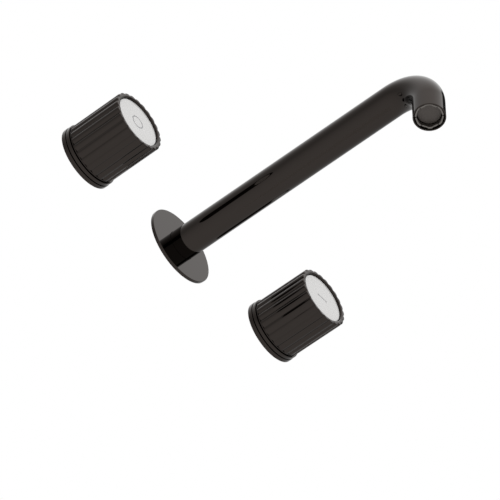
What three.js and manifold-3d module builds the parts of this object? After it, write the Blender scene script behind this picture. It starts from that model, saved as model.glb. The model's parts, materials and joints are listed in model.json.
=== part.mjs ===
// Wall mounted bath faucet: a long round spout with its wall plate, and a reeded hot and a
// reeded cold handle, each turning the quarter-turn ceramic valve that it hides.
//
// Millimetres, +Z up. The wall is the plane y = 0 and the room is on its -y side. The origin is
// on the wall at the centre of the spout. "Out" is the distance from the wall into the room, so
// a point at out = 10 lies at y = -10, and a negative out is inside the wall.

import * as THREE from "three";
import { mergeVertices } from "three/addons/utils/BufferGeometryUtils.js";
import Module from "manifold-3d";

const wasm = await Module();
wasm.setup();

// ---------------------------------------------------------------- driving dimensions

const gap = 0.3; // between faces that touch, and around threads
const running = 0.4; // radial room around pieces that turn

const handleSpacing = 200; // hot axis to cold axis

const spout = {
  reach: 225, // wall to the centre of the outlet
  drop: 47.5, // spout axis down to the outlet's rim
  outerRadius: 11.5,
  wall: 2.5,
  bendRadius: 31, // of the centreline
  bendSteps: 10,
  rearSocketWall: 1.5,
  outletSocketWall: 1,
};

const plate = {
  radius: 29.9,
  thickness: 2.5,
  frontWall: 1.3,
  rimWidth: 1.7,
  hubWidth: 3.2,
  chamfer: 0.4,
  grooveBack: 0.5,
  gasketWidth: 4,
  gasketBack: 0.1,
};

const plateORing = { section: 0.4 };

const nipple = {
  wallThreadRadius: 10.4, // half-inch pipe thread
  wallThreadLength: 6.8,
  spoutThreadLength: 13.5,
  threadLead: 0.8,
  collarBack: -1.2,
  collarFront: 0.6,
  keyWall: 2.4, // from the spout thread to the corners of the key's hexagon
  washerThickness: 1,
};

const bush = { wall: 1.2, beyondNipple: 2 };

// Heights are up from the outlet's rim.
const aerator = {
  rimHeight: 0.5,
  length: 9,
  rimWidth: 1.7,
  edge: 0.3,
  seatWidth: 1.3,
  seatThickness: 1.5,
  screenHeight: 4.4,
  screenThickness: 0.6,
  straightenerThickness: 2.2,
  diffuserThickness: 1.4,
  diffuserHoles: 6,
  diffuserHoleRadius: 0.8,
  diffuserCircle: 4.4,
  washerThickness: 1.5,
  washerWidth: 2.8,
};

const spindle = {
  shaftRadius: 4.6,
  collarWidth: 0.6, // the collar that bears on the cartridge, over the shaft
  collarThickness: 1.4,
  splineDepth: 0.4,
  splineTeeth: 16,
  splineBelowShaft: 0.6,
  tongueWidth: 2.4,
  tongueInset: 2.2, // from the disc's edge to the tongue's end
  tongueDepth: 1,
  screwHoleDepth: 7,
  clipGrooveDepth: 1,
  clipShoulder: 0.5,
  oRingSection: 0.5,
  oRingsAt: [14, 19],
};

const stops = {
  ribCentre: 90, // of the rib that is fixed in the cartridge, in degrees
  ribAngle: 40,
  travel: 90, // of the handle, closed to open
  play: 2, // left at each end between the rib and the collar's lug
  height: 1.3, // radial
};

const discs = {
  thickness: 2.4,
  sealThickness: 1.5,
  sealWidth: 1.1,
  openingInner: 2,
  openingAngle: 76,
};

const cartridge = {
  threadRadius: 10.4, // half-inch pipe thread
  barrelWall: 1.1,
  neckWall: 3.3,
  rear: -1,
  threadRear: 9.5,
  hexAcrossFlats: 22,
  hexThickness: 5.5,
  front: 27,
  windowWidth: 6,
  windowLength: 3,
  gasketWidth: 2.3,
  gasketThickness: 1,
};

const housing = {
  floorRear: -4.4, // the face that plugs into the body in the wall
  floorFront: -1.4,
  barrelWall: 3.5,
  barrelFront: 17,
  flangeThickness: 3.5,
  inletRadius: 4.4,
  slots: 4,
  slotAngle: 56,
  slotMargin: 0.4,
  spigotWall: 1.9,
  oRingSection: 0.55,
  grooveDepth: 1.2,
  grooveRear: -3.4,
  gasketWidth: 2,
  gasketThickness: 0.7,
};

const mountScrew = {
  shankRadius: 1.5,
  headRadius: 2.6,
  headThickness: 1.6,
  tip: -3,
  keyAcrossFlats: 2,
  keyDepth: 0.9,
};

const baseRing = { width: 3.5, thickness: 3.2, chamfer: 0.35 };
const coverRing = { inset: 0.2, thickness: 2.6, chamfer: 0.5 };

const grip = {
  crestRadius: 23.4,
  reedDepth: 1.3,
  reeds: 24,
  reedEndChamfer: 1.3,
  neckInset: 0.7, // of the plain neck behind the reeds, below their crests
  neckLength: 0.8,
  front: 50.3,
  wall: 2.3,
  pocketWall: 2.4,
  pocketDepth: 6.8,
  mouthChamfer: 1.1,
  ledgeWidth: 3.2,
  ledgeThickness: 2,
  webThickness: 2.8,
  bossWall: 3.8,
  screwSeatThickness: 3.8,
};

const glideRing = { width: 1.3, thickness: 1, insideCavity: 0.5 };

const indexDisc = {
  setBack: 1.5, // of its face inside the grip's front edge
  edge: 0.4,
  hollowMargin: 4.4,
  hollowDepth: 2.4,
  grooveDepth: 1.2,
  grooveFromBack: 1.5,
  oRingSection: 0.45,
  markDepth: 0.3,
  markWidth: 0.9,
  ringMarkRadius: 5,
  barMarkLength: 10,
};

const insert = { wall: 3.2, length: 8, sides: 8 };
const clip = { width: 2.3, thickness: 0.8, mouthAngle: 80 };

const handleScrew = {
  shankRadius: 1.9,
  engagement: 6,
  headRadius: 3.8,
  headThickness: 2.4,
  keyAcrossFlats: 3,
  keyDepth: 1.5,
  washerThickness: 0.6,
};

// Sides of the polygon that stands for a circle.
const fine = 32;
const medium = 20;
const coarse = 12;

// ---------------------------------------------------------------- sizes that follow

const rearSocketRadius = spout.outerRadius - spout.rearSocketWall;
const outletSocketRadius = spout.outerRadius - spout.outletSocketWall;
const spoutThreadRadius = rearSocketRadius - bush.wall - 2 * gap;
const nippleFront = nipple.collarFront + nipple.spoutThreadLength;
const tubeRear = nipple.collarFront + gap;
const nippleWasherFront = tubeRear + nipple.washerThickness;
const bushFront = nippleFront + bush.beyondNipple;

const aeratorRadius = outletSocketRadius - gap;
const aeratorOpening = aeratorRadius - aerator.rimWidth;
const screenTop = aerator.screenHeight + aerator.screenThickness;
const straightenerBottom = screenTop + gap;
const housingTop = aerator.rimHeight + aerator.length;
const diffuserBottom = housingTop + gap;
const diffuserTop = diffuserBottom + aerator.diffuserThickness;
const aeratorWasherBottom = diffuserTop + gap;
const aeratorWasherTop = aeratorWasherBottom + aerator.washerThickness;

const spindleCollarRadius = spindle.shaftRadius + spindle.collarWidth;
const ribInnerRadius = spindleCollarRadius + running;
const chamberRadius = ribInnerRadius + stops.height;
const discRadius = chamberRadius - running;
const openingOuter = discRadius - discs.sealWidth - 0.1;
const cartridgeBarrelRadius = chamberRadius + cartridge.barrelWall;
const cartridgeBore = spindle.shaftRadius + gap;
const neckRadius = cartridgeBore + cartridge.neckWall;

const sealRear = housing.floorFront + gap;
const fixedDiscRear = sealRear + discs.sealThickness + gap;
const turningDiscRear = fixedDiscRear + discs.thickness + gap;
const turningDiscFront = turningDiscRear + discs.thickness;
const windowRear = turningDiscFront + 0.2;
const spindleCollarRear = windowRear + cartridge.windowLength + gap;
const spindleCollarFront = spindleCollarRear + spindle.collarThickness;
const chamberFront = spindleCollarFront + gap;

const housingBore = cartridge.threadRadius + gap;
const housingBarrelRadius = housingBore + housing.barrelWall;
const spigotRadius = housingBore + housing.spigotWall;
const grooveRoot = spigotRadius - housing.grooveDepth;
const grooveFront = housing.grooveRear + 2 * (housing.oRingSection + gap);
const flangeGasketInner = spigotRadius + gap;
const flangeGasketOuter = flangeGasketInner + housing.gasketWidth;
const flangeRecessRadius = flangeGasketOuter + gap;
const mountScrewCircle = flangeRecessRadius + gap + mountScrew.shankRadius + gap;
const flangeRadius = mountScrewCircle + mountScrew.headRadius + 2 * gap;

const baseRingInner = flangeRadius + running;
const baseRingRadius = baseRingInner + baseRing.width;
const coverRingRadius = baseRingRadius - coverRing.inset;
const coverRingRear = housing.flangeThickness + gap;
const coverRingFront = coverRingRear + coverRing.thickness;

const hexRear = housing.barrelFront + cartridge.gasketThickness + 2 * gap;
const hexFront = hexRear + cartridge.hexThickness;

const gripRear = coverRingFront + running;
const reedsRear = gripRear + grip.neckLength;
const reedRoot = grip.crestRadius - grip.reedDepth;
const gripNeckRadius = grip.crestRadius - grip.neckInset;
const cavityRadius = reedRoot - grip.wall;
const pocketRadius = reedRoot - grip.pocketWall;
const pocketBack = grip.front - grip.pocketDepth;
const webFront = pocketBack - grip.ledgeThickness;
const webRear = webFront - grip.webThickness;
const glideRear = coverRingFront + gap;
const glideFront = glideRear + glideRing.thickness;

const indexDiscRadius = pocketRadius - gap;
const indexDiscFront = grip.front - indexDisc.setBack;
const indexDiscRear = pocketBack + gap;

const splineCrest = spindle.shaftRadius - spindle.splineBelowShaft;
const splineRoot = splineCrest - spindle.splineDepth;
const clipRear = cartridge.front + gap;
const clipGrooveFront = clipRear + clip.thickness + gap;
const clipGrooveRoot = spindle.shaftRadius - spindle.clipGrooveDepth;
const splineRear = clipGrooveFront + spindle.clipShoulder;
const insertPocketFront = webFront - grip.screwSeatThickness;
const insertFront = insertPocketFront - gap;
const insertRear = insertFront - insert.length;
const insertRadius = splineCrest + insert.wall;
const spindleFront = insertFront - gap;
const lockWasherRear = webFront + gap;
const screwHeadRear = lockWasherRear + handleScrew.washerThickness + gap;

// ---------------------------------------------------------------- finishes

const finish = (color, roughness, metalness) =>
  new THREE.MeshStandardMaterial({ color, roughness, metalness });

const blackChrome = finish(0x5a5654, 0.08, 1);
const porcelain = finish(0xf2f1ef, 0.12, 0);
const brass = finish(0xc9a865, 0.3, 1);
const steel = finish(0xb9bcc0, 0.3, 1);
const rubber = finish(0x1b1b1b, 0.7, 0);
const whiteCeramic = finish(0xe9e4da, 0.25, 0);
const greyPlastic = finish(0x6b6a68, 0.5, 0);

// ---------------------------------------------------------------- shape helpers

const radians = THREE.MathUtils.degToRad;

// A solid of revolution about the y axis from [radius, out] points. The profile starts and ends
// on the axis, or else its last point is joined to its first.
function turned(profile, sides = coarse) {
  const points = profile.map(([radius, out]) => new THREE.Vector2(radius, -out));
  if (THREE.ShapeUtils.area(points) < 0) points.reverse();
  const onAxis = points[0].x === 0 && points.at(-1).x === 0;
  if (!onAxis) points.push(points[0].clone());
  return new THREE.LatheGeometry(points, sides);
}

// A ring of rectangular section.
function ring(inner, outer, from, to, sides) {
  return turned([[inner, from], [outer, from], [outer, to], [inner, to]], sides);
}

// A plain cylinder.
function rod(radius, from, to, sides) {
  return turned([[0, from], [radius, from], [radius, to], [0, to]], sides);
}

// A ring of round section.
function oRing(middleRadius, section, out, sides) {
  const steps = 6;
  const profile = Array.from({ length: steps }, (_, i) => {
    const angle = (2 * Math.PI * i) / steps;
    return [middleRadius + section * Math.cos(angle), out + section * Math.sin(angle)];
  });
  return turned(profile, sides);
}

// A flat shape, drawn as the room sees it, given thickness between two distances out.
function extruded(shape, from, to, curveSegments = 6) {
  const depth = to - from;
  const made = new THREE.ExtrudeGeometry(shape, { depth, bevelEnabled: false, curveSegments });
  return made.rotateX(Math.PI / 2).translate(0, -from, 0);
}

function polygon(sides, radiusAt) {
  const points = Array.from({ length: sides }, (_, i) => {
    const angle = (2 * Math.PI * i) / sides;
    return new THREE.Vector2(radiusAt(i) * Math.cos(angle), radiusAt(i) * Math.sin(angle));
  });
  return new THREE.Shape(points);
}

function hexagon(acrossFlats) {
  return polygon(6, () => acrossFlats / Math.sqrt(3));
}

function splineOutline(crest, root) {
  return polygon(2 * spindle.splineTeeth, (i) => (i % 2 === 0 ? crest : root));
}

// A sector of a ring, given by its middle and its spread in degrees.
function sector(inner, outer, centre, spread) {
  const from = radians(centre - spread / 2);
  const to = radians(centre + spread / 2);
  const shape = new THREE.Shape();
  shape.absarc(0, 0, outer, from, to, false);
  shape.absarc(0, 0, inner, to, from, true);
  shape.closePath();
  return shape;
}

// Angles of pieces that are spaced evenly round a circle, in degrees.
function evenly(count, first = 0) {
  return Array.from({ length: count }, (_, i) => first + (360 * i) / count);
}

// Moves a shape off the axis, to a place on a circle round it.
function onCircle(geometry, radius, angle) {
  const x = radius * Math.cos(radians(angle));
  const z = radius * Math.sin(radians(angle));
  return geometry.translate(x, 0, z);
}

function solid(geometry) {
  const bare = geometry.index ? geometry.toNonIndexed() : geometry.clone();
  bare.deleteAttribute("normal");
  bare.deleteAttribute("uv");
  const merged = mergeVertices(bare, 1e-3);
  const corners = merged.index.array;
  const kept = [];
  for (let i = 0; i < corners.length; i += 3) {
    const [a, b, c] = corners.slice(i, i + 3);
    if (a !== b && b !== c && c !== a) kept.push(a, b, c);
  }
  const vertProperties = merged.attributes.position.array;
  const triVerts = new Uint32Array(kept);
  return new wasm.Manifold(new wasm.Mesh({ numProp: 3, vertProperties, triVerts }));
}

// One body from shapes joined together, with others cut away.
function combined({ join, cut = [] }) {
  let made = solid(join[0]);
  for (const more of join.slice(1)) made = made.add(solid(more));
  for (const less of cut) made = made.subtract(solid(less));
  const mesh = made.getMesh();
  const geometry = new THREE.BufferGeometry();
  geometry.setAttribute("position", new THREE.BufferAttribute(mesh.vertProperties, 3));
  geometry.setIndex(new THREE.BufferAttribute(mesh.triVerts, 1));
  const faceted = geometry.toNonIndexed();
  faceted.computeVertexNormals();
  return faceted;
}

function place(group, name, geometry, material) {
  const mesh = new THREE.Mesh(geometry, material);
  mesh.name = name;
  group.add(mesh);
}

// ---------------------------------------------------------------- spout

// The spout's centreline: straight out from the wall, round the bend, and down to the outlet.
// It takes one step along each straight and even steps round the bend.
class SpoutLine extends THREE.Curve {
  steps = spout.bendSteps + 2;

  bendAngle(u) {
    const turn = (u * this.steps - 1) / spout.bendSteps;
    return THREE.MathUtils.clamp(turn, 0, 1) * (Math.PI / 2);
  }

  getPointAt(u) {
    if (u === 0) return new THREE.Vector3(0, -tubeRear, 0);
    if (u === 1) return new THREE.Vector3(0, -spout.reach, -spout.drop);
    const angle = this.bendAngle(u);
    const out = spout.reach - spout.bendRadius * (1 - Math.sin(angle));
    return new THREE.Vector3(0, -out, -spout.bendRadius * (1 - Math.cos(angle)));
  }

  getTangentAt(u) {
    const angle = this.bendAngle(u);
    return new THREE.Vector3(0, -Math.cos(angle), -Math.sin(angle));
  }
}

// Turns a shape made along "out" so that its outs are heights above the outlet's rim.
function aboveOutlet(geometry) {
  return geometry.rotateX(-Math.PI / 2).translate(0, -spout.reach, -spout.drop);
}

function spoutTube() {
  const section = new THREE.Shape().absarc(0, 0, spout.outerRadius, 0, 2 * Math.PI);
  const bore = spout.outerRadius - spout.wall;
  section.holes.push(new THREE.Path().absarc(0, 0, bore, 0, 2 * Math.PI));
  const line = new SpoutLine();
  const tube = new THREE.ExtrudeGeometry(section, {
    steps: line.steps,
    extrudePath: line,
    curveSegments: medium / 2,
  });
  const rearSocket = rod(rearSocketRadius, tubeRear - 1, bushFront + gap, medium);
  const outletDepth = aeratorWasherTop + gap;
  const outletSocket = aboveOutlet(rod(outletSocketRadius, -1, outletDepth, medium));
  return combined({ join: [tube], cut: [rearSocket, outletSocket] });
}

function spoutPlate() {
  const bore = spout.outerRadius + gap;
  const hub = bore + plate.hubWidth;
  const rim = plate.radius - plate.rimWidth;
  const recess = plate.thickness - plate.frontWall;
  const root = spout.outerRadius + 2 * gap + 2 * plateORing.section;
  const grooveEnd = plate.grooveBack + 2 * plateORing.section + 2 * gap;
  return turned(
    [
      [bore, 0],
      [hub, 0],
      [hub, recess],
      [rim, recess],
      [rim, 0],
      [plate.radius, 0],
      [plate.radius, plate.thickness - plate.chamfer],
      [plate.radius - plate.chamfer, plate.thickness],
      [bore, plate.thickness],
      [bore, grooveEnd],
      [root, grooveEnd],
      [root, plate.grooveBack],
      [bore, plate.grooveBack],
    ],
    fine,
  );
}

function plateSealRing() {
  const { section } = plateORing;
  const middle = spout.outerRadius + gap + section;
  return oRing(middle, section, plate.grooveBack + gap + section, medium);
}

function plateGasket() {
  const outer = plate.radius - plate.rimWidth - gap;
  const front = plate.thickness - plate.frontWall - gap;
  return ring(outer - plate.gasketWidth, outer, plate.gasketBack, front, medium);
}

function spoutNipple() {
  const rear = nipple.collarBack - nipple.wallThreadLength;
  const lead = nipple.threadLead;
  const collarRadius = spout.outerRadius - gap;
  const body = turned(
    [
      [0, rear],
      [nipple.wallThreadRadius - lead, rear],
      [nipple.wallThreadRadius, rear + lead],
      [nipple.wallThreadRadius, nipple.collarBack],
      [collarRadius, nipple.collarBack],
      [collarRadius, nipple.collarFront],
      [spoutThreadRadius, nipple.collarFront],
      [spoutThreadRadius, nippleFront - lead],
      [spoutThreadRadius - lead, nippleFront],
      [0, nippleFront],
    ],
    medium,
  );
  const keyAcrossFlats = (spoutThreadRadius - nipple.keyWall) * Math.sqrt(3);
  const key = extruded(hexagon(keyAcrossFlats), rear - 1, nippleFront + 1);
  return combined({ join: [body], cut: [key] });
}

function nippleWasher() {
  const inner = spoutThreadRadius + gap;
  return ring(inner, inner + bush.wall, tubeRear, nippleWasherFront, medium);
}

function threadBush() {
  const inner = spoutThreadRadius + gap;
  return ring(inner, inner + bush.wall, nippleWasherFront + gap, bushFront, medium);
}

function aeratorHousing() {
  const rim = aerator.rimHeight;
  const seat = aeratorOpening - aerator.seatWidth;
  const seatBottom = housingTop - aerator.seatThickness;
  const body = turned(
    [
      [aeratorOpening, rim + aerator.edge],
      [aeratorOpening + aerator.edge, rim],
      [aeratorRadius - aerator.edge, rim],
      [aeratorRadius, rim + aerator.edge],
      [aeratorRadius, housingTop],
      [seat, housingTop],
      [seat, seatBottom],
      [aeratorOpening, seatBottom],
    ],
    medium,
  );
  return aboveOutlet(body);
}

function aeratorScreen() {
  return aboveOutlet(rod(aeratorOpening - gap, aerator.screenHeight, screenTop, medium));
}

function aeratorStraightener() {
  const top = straightenerBottom + aerator.straightenerThickness;
  return aboveOutlet(rod(aeratorOpening - gap, straightenerBottom, top, medium));
}

function aeratorDiffuser() {
  const disc = rod(aeratorRadius, diffuserBottom, diffuserTop, medium);
  const holes = evenly(aerator.diffuserHoles).map((angle) => {
    const hole = rod(aerator.diffuserHoleRadius, diffuserBottom - 1, diffuserTop + 1, 6);
    return onCircle(hole, aerator.diffuserCircle, angle);
  });
  return aboveOutlet(combined({ join: [disc], cut: holes }));
}

function aeratorWasher() {
  const inner = aeratorRadius - aerator.washerWidth;
  return aboveOutlet(ring(inner, aeratorRadius, aeratorWasherBottom, aeratorWasherTop, medium));
}

function spoutAssembly() {
  const group = new THREE.Group();
  place(group, "spout_tube", spoutTube(), blackChrome);
  place(group, "spout_plate", spoutPlate(), blackChrome);
  place(group, "plate_gasket", plateGasket(), rubber);
  place(group, "plate_o_ring", plateSealRing(), rubber);
  place(group, "spout_nipple", spoutNipple(), brass);
  place(group, "nipple_washer", nippleWasher(), rubber);
  place(group, "spout_thread_bush", threadBush(), brass);
  place(group, "aerator_housing", aeratorHousing(), blackChrome);
  place(group, "aerator_screen", aeratorScreen(), steel);
  place(group, "aerator_straightener", aeratorStraightener(), greyPlastic);
  place(group, "aerator_diffuser", aeratorDiffuser(), greyPlastic);
  place(group, "aerator_washer", aeratorWasher(), rubber);
  return group;
}

// ---------------------------------------------------------------- valve, the pieces that stay

// The housing plugs into the body in the wall: water comes in through the middle of its floor
// and leaves through the slots round it, which open into the space round the cartridge.
function valveHousing() {
  const rear = housing.floorRear;
  const body = turned([
    [0, rear],
    [spigotRadius, rear],
    [spigotRadius, housing.grooveRear],
    [grooveRoot, housing.grooveRear],
    [grooveRoot, grooveFront],
    [spigotRadius, grooveFront],
    [spigotRadius, housing.gasketThickness + gap],
    [flangeRecessRadius, housing.gasketThickness + gap],
    [flangeRecessRadius, 0],
    [flangeRadius, 0],
    [flangeRadius, housing.flangeThickness],
    [housingBarrelRadius, housing.flangeThickness],
    [housingBarrelRadius, housing.barrelFront],
    [housingBore, housing.barrelFront],
    [housingBore, housing.floorFront],
    [0, housing.floorFront],
  ]);
  const inlet = rod(housing.inletRadius, rear - 1, housing.floorFront + 1);
  const slotInner = cartridgeBarrelRadius + housing.slotMargin;
  const slotOuter = housingBore - housing.slotMargin;
  const slots = evenly(housing.slots, 45).map((angle) =>
    extruded(sector(slotInner, slotOuter, angle, housing.slotAngle), rear - 1, 0, 2),
  );
  const screwHoles = mountScrewAngles.map((angle) =>
    onCircle(mountScrewHole(), mountScrewCircle, angle),
  );
  return combined({ join: [body], cut: [inlet, ...slots, ...screwHoles] });
}

const mountScrewAngles = [0, 180];
const mountScrewHeadRear = housing.flangeThickness - mountScrew.headThickness;

function mountScrewHole() {
  const shank = mountScrew.shankRadius + gap;
  const head = mountScrew.headRadius + gap;
  const front = housing.flangeThickness;
  return turned(
    [
      [0, -1],
      [shank, -1],
      [shank, mountScrewHeadRear],
      [head, front],
      [head, front + gap],
      [0, front + gap],
    ],
    coarse,
  );
}

// Countersunk, with its face level with the flange.
function mountScrewBody() {
  const { shankRadius, headRadius, tip } = mountScrew;
  const front = housing.flangeThickness;
  const body = turned(
    [
      [0, tip],
      [shankRadius - gap, tip],
      [shankRadius, tip + gap],
      [shankRadius, mountScrewHeadRear + gap],
      [headRadius, front],
      [0, front],
    ],
    coarse,
  );
  const key = extruded(hexagon(mountScrew.keyAcrossFlats), front - mountScrew.keyDepth, front + 1);
  return combined({ join: [body], cut: [key] });
}

function housingORing() {
  const { oRingSection: section } = housing;
  return oRing(grooveRoot + gap + section, section, (housing.grooveRear + grooveFront) / 2);
}

function flangeGasket() {
  return ring(flangeGasketInner, flangeGasketOuter, 0, housing.gasketThickness);
}

function wallRing() {
  const { thickness, chamfer } = baseRing;
  return turned(
    [
      [baseRingInner, 0],
      [baseRingRadius, 0],
      [baseRingRadius, thickness - chamfer],
      [baseRingRadius - chamfer, thickness],
      [baseRingInner, thickness],
    ],
    fine,
  );
}

// Screwed onto the housing's barrel, it hides the mounting screws and holds the base ring.
function screwedCover() {
  const { chamfer } = coverRing;
  return turned(
    [
      [housingBarrelRadius + gap, coverRingRear],
      [coverRingRadius - chamfer, coverRingRear],
      [coverRingRadius, coverRingRear + chamfer],
      [coverRingRadius, coverRingFront - chamfer],
      [coverRingRadius - chamfer, coverRingFront],
      [housingBarrelRadius + gap, coverRingFront],
    ],
    fine,
  );
}

function glideWasher() {
  const inner = cavityRadius - glideRing.insideCavity;
  return ring(inner, inner + glideRing.width, glideRear, glideFront, medium);
}

function cartridgeBody() {
  const bodyOfRevolution = turned([
    [chamberRadius, cartridge.rear],
    [cartridgeBarrelRadius, cartridge.rear],
    [cartridgeBarrelRadius, cartridge.threadRear],
    [cartridge.threadRadius, cartridge.threadRear],
    [cartridge.threadRadius, hexFront - gap],
    [neckRadius, hexFront - gap],
    [neckRadius, cartridge.front],
    [cartridgeBore, cartridge.front],
    [cartridgeBore, chamberFront],
    [chamberRadius, chamberFront],
  ]);
  const key = extruded(hexagon(cartridge.hexAcrossFlats), hexRear, hexFront);
  const keyBore = rod(cartridgeBore + 1, hexRear - 1, hexFront + 1);
  const rib = extruded(
    sector(ribInnerRadius, chamberRadius + gap, stops.ribCentre, stops.ribAngle),
    spindleCollarRear,
    chamberFront + gap,
    2,
  );
  const windows = [0, Math.PI / 2].map((angle) => {
    const span = 2 * cartridgeBarrelRadius + 2;
    const box = new THREE.BoxGeometry(span, cartridge.windowLength, cartridge.windowWidth);
    return box.rotateY(angle).translate(0, -windowRear - cartridge.windowLength / 2, 0);
  });
  const hexRing = combined({ join: [key], cut: [keyBore] });
  return combined({ join: [bodyOfRevolution, hexRing, rib], cut: windows });
}

function cartridgeGasket() {
  const inner = cartridge.threadRadius + gap;
  const rear = housing.barrelFront + gap;
  return ring(inner, inner + cartridge.gasketWidth, rear, rear + cartridge.gasketThickness);
}

// Two opposite openings; the discs pass water where the openings of both lie over each other.
function valveDisc(rear, openingsAt) {
  const disc = rod(discRadius, rear, rear + discs.thickness);
  const openings = evenly(2, openingsAt).map((angle) => {
    const shape = sector(discs.openingInner, openingOuter, angle, discs.openingAngle);
    return extruded(shape, rear - 1, rear + discs.thickness + 1, 3);
  });
  return combined({ join: [disc], cut: openings });
}

function discSeal() {
  return ring(discRadius - discs.sealWidth, discRadius, sealRear, sealRear + discs.sealThickness);
}

function fixedPieces(group, side) {
  place(group, `${side}_valve_housing`, valveHousing(), brass);
  place(group, `${side}_housing_o_ring`, housingORing(), rubber);
  place(group, `${side}_flange_gasket`, flangeGasket(), rubber);
  mountScrewAngles.forEach((angle, i) => {
    const name = `${side}_mount_screw_${i + 1}`;
    place(group, name, onCircle(mountScrewBody(), mountScrewCircle, angle), steel);
  });
  place(group, `${side}_base_ring`, wallRing(), blackChrome);
  place(group, `${side}_cover_ring`, screwedCover(), blackChrome);
  place(group, `${side}_glide_ring`, glideWasher(), greyPlastic);
  place(group, `${side}_cartridge_body`, cartridgeBody(), brass);
  place(group, `${side}_cartridge_gasket`, cartridgeGasket(), rubber);
  place(group, `${side}_fixed_disc`, valveDisc(fixedDiscRear, 0), whiteCeramic);
  place(group, `${side}_disc_seal`, discSeal(), rubber);
}

// ---------------------------------------------------------------- valve, the pieces that turn

const tongueLength = 2 * (discRadius - spindle.tongueInset);
const spindleScrewHole = handleScrew.shankRadius + gap;
const spindleGrooveRoot = cartridgeBore - 2 * gap - 2 * spindle.oRingSection;

// Closed at rest: its openings lie between those of the fixed disc.
function turningDisc() {
  const rear = turningDiscFront - spindle.tongueDepth - gap;
  const length = tongueLength + 2 * gap;
  const width = spindle.tongueWidth + 2 * gap;
  const slot = new THREE.BoxGeometry(length, 2 * (turningDiscFront - rear), width);
  slot.translate(0, -turningDiscFront, 0);
  return combined({ join: [valveDisc(turningDiscRear, 90)], cut: [slot] });
}

// opens is +1 where the handle opens anticlockwise, as the room sees it, and -1 where it opens
// clockwise.
function valveSpindle(opens) {
  const shaft = spindle.shaftRadius;
  const halfGroove = spindle.oRingSection + gap;
  const grooves = spindle.oRingsAt.flatMap((out) => [
    [shaft, out - halfGroove],
    [spindleGrooveRoot, out - halfGroove],
    [spindleGrooveRoot, out + halfGroove],
    [shaft, out + halfGroove],
  ]);
  const body = turned([
    [0, spindleCollarRear],
    [spindleCollarRadius, spindleCollarRear],
    [spindleCollarRadius, spindleCollarFront],
    [shaft, spindleCollarFront],
    ...grooves,
    [shaft, cartridge.front - gap],
    [clipGrooveRoot, cartridge.front - gap],
    [clipGrooveRoot, clipGrooveFront],
    [shaft, clipGrooveFront],
    [shaft, splineRear],
    [0, splineRear],
  ]);
  const tongueRear = turningDiscFront - spindle.tongueDepth;
  const tongueFront = spindleCollarRear + gap;
  const tongueDepth = tongueFront - tongueRear;
  const tongue = new THREE.BoxGeometry(tongueLength, tongueDepth, spindle.tongueWidth);
  tongue.translate(0, -(tongueRear + tongueFront) / 2, 0);
  const notchAngle = stops.ribAngle + stops.travel + 2 * stops.play;
  const notchCentre = stops.ribCentre - (opens * stops.travel) / 2;
  const lug = extruded(
    sector(spindle.shaftRadius, discRadius, notchCentre + 180, 360 - notchAngle),
    spindleCollarRear,
    spindleCollarFront,
  );
  const spline = extruded(splineOutline(splineCrest, splineRoot), splineRear - gap, spindleFront);
  const screwHole = rod(spindleScrewHole, spindleFront - spindle.screwHoleDepth, spindleFront + 1, 12);
  return combined({ join: [body, tongue, lug, spline], cut: [screwHole] });
}

function spindleORing(out) {
  return oRing(cartridgeBore - gap - spindle.oRingSection, spindle.oRingSection, out);
}

function circlip() {
  const inner = clipGrooveRoot + gap;
  const shape = sector(inner, inner + clip.width, 270, 360 - clip.mouthAngle);
  return extruded(shape, clipRear, clipRear + clip.thickness);
}

// Sits in the grip's boss and carries its turning over to the spindle.
function splineInsert() {
  const body = extruded(polygon(insert.sides, () => insertRadius), insertRear, insertFront);
  const teeth = splineOutline(splineCrest + gap, splineRoot + gap);
  return combined({ join: [body], cut: [extruded(teeth, insertRear - 1, insertFront + 1)] });
}

// The grip's outline: one round reed after another, meeting in sharp grooves.
function reededOutline() {
  const halfPitch = Math.PI / grip.reeds;
  const halfWidth = reedRoot * Math.sin(halfPitch);
  const height = grip.crestRadius - reedRoot * Math.cos(halfPitch);
  const radius = (halfWidth ** 2 + height ** 2) / (2 * height);
  const centre = grip.crestRadius - radius;
  const halfArc = Math.asin(halfWidth / radius);
  const shape = new THREE.Shape();
  for (const degrees of evenly(grip.reeds, 180 / grip.reeds)) {
    const angle = radians(degrees);
    const x = centre * Math.cos(angle);
    const y = centre * Math.sin(angle);
    shape.absarc(x, y, radius, angle - halfArc, angle + halfArc, false);
  }
  return shape;
}

function reededGrip() {
  const recess = glideFront + gap;
  const cavity = turned(
    [
      [0, gripRear - 1],
      [cavityRadius + glideRing.width, gripRear - 1],
      [cavityRadius + glideRing.width, recess],
      [cavityRadius, recess],
      [cavityRadius, webRear],
      [0, webRear],
    ],
    medium,
  );
  const pocket = turned(
    [
      [0, webFront],
      [pocketRadius - grip.ledgeWidth, webFront],
      [pocketRadius - grip.ledgeWidth, pocketBack],
      [pocketRadius, pocketBack],
      [pocketRadius, grip.front - grip.mouthChamfer],
      [pocketRadius + grip.mouthChamfer + 1, grip.front + 1],
      [0, grip.front + 1],
    ],
    fine,
  );
  const reedEnds = turned(
    [
      [grip.crestRadius + 1, grip.front - grip.reedEndChamfer - 1],
      [grip.crestRadius + 1, grip.front + 1],
      [grip.crestRadius - grip.reedEndChamfer - 1, grip.front + 1],
    ],
    fine,
  );
  const reeds = extruded(reededOutline(), reedsRear, grip.front, 2);
  const neck = rod(gripNeckRadius, gripRear, reedsRear + 1, medium);
  const shell = combined({ join: [reeds, neck], cut: [cavity, pocket, reedEnds] });
  const boss = rod(insertRadius + grip.bossWall, insertRear - gap, webRear + gap);
  const seat = polygon(insert.sides, () => insertRadius + gap);
  const insertPocket = extruded(seat, insertRear - 1, insertPocketFront);
  const screwHole = rod(spindleScrewHole, insertPocketFront - 1, webFront + 1, 12);
  return combined({ join: [shell, boss], cut: [insertPocket, screwHole] });
}

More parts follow.
